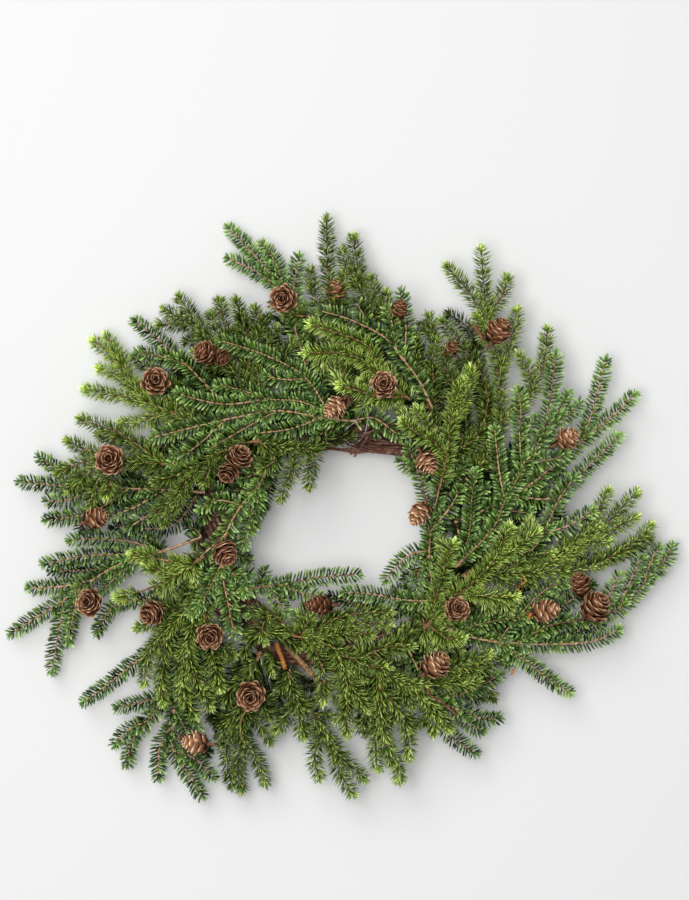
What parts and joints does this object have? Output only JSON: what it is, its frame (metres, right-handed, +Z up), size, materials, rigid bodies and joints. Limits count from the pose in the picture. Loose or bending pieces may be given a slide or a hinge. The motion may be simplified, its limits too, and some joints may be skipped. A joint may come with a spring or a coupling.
{
  "type": "evergreen wreath",
  "caption": "Round wreath of fresh fir and spruce boughs on a twisted grapevine ring, with larch cones set among the needles.",
  "frame": {"origin": "middle of the wreath's outline in plan, on the surface that it lies on", "axes": "+Z up out of the wreath's front, +X across it, +Y towards its top as it is seen from the front"},
  "size_m": [0.604, 0.531, 0.0857],
  "materials": {
    "vine": "dark red-brown bark, rough and fibrous",
    "wire": "bright silvery florist's wire",
    "twig": "olive-tan bark with knots and a pale cut end",
    "splinter": "raw orange-brown split wood",
    "fir": "flat blue-green needles with a soft sheen on tan stems",
    "spruce": "fine olive-green needles with yellow-green tips",
    "cone": "dry brown scales with pale tan edges"
  },
  "bodies": {
    "root": {"ring_vine_1": "vine", "ring_vine_2": "vine", "ring_vine_3": "vine", "binding_wire": "wire", "cut_vine_twig": "twig", "cut_vine_splinter": "splinter", "fir_bough_01": "fir", "fir_bough_02": "fir", "fir_bough_03": "fir", "fir_bough_04": "fir", "fir_bough_05": "fir", "fir_bough_06": "fir", "fir_bough_07": "fir", "spruce_bough_01": "spruce", "spruce_bough_02": "spruce", "spruce_bough_03": "spruce", "spruce_bough_04": "spruce", "spruce_bough_05": "spruce", "spruce_bough_06": "spruce", "fir_bough_08": "fir", "fir_bough_09": "fir", "spruce_bough_07": "spruce", "spruce_bough_08": "spruce", "spruce_bough_09": "spruce", "spruce_bough_10": "spruce", "fir_bough_10": "fir", "spruce_bough_11": "spruce", "fir_bough_11": "fir", "fir_bough_12": "fir", "fir_bough_13": "fir", "spruce_bough_12": "spruce", "spruce_bough_13": "spruce", "spruce_bough_14": "spruce", "spruce_bough_15": "spruce", "spruce_bough_16": "spruce", "fir_bough_14": "fir", "spruce_bough_17": "spruce", "cone_01": "cone", "cone_02": "cone", "cone_03": "cone", "cone_04": "cone", "cone_05": "cone", "cone_06": "cone", "cone_07": "cone", "cone_08": "cone", "cone_09": "cone", "cone_10": "cone", "cone_11": "cone", "cone_12": "cone", "cone_13": "cone", "cone_14": "cone", "cone_15": "cone", "cone_16": "cone", "cone_17": "cone", "cone_18": "cone", "cone_19": "cone", "cone_20": "cone", "cone_21": "cone", "cone_22": "cone", "cone_23": "cone"}
  },
  "joints": []
}
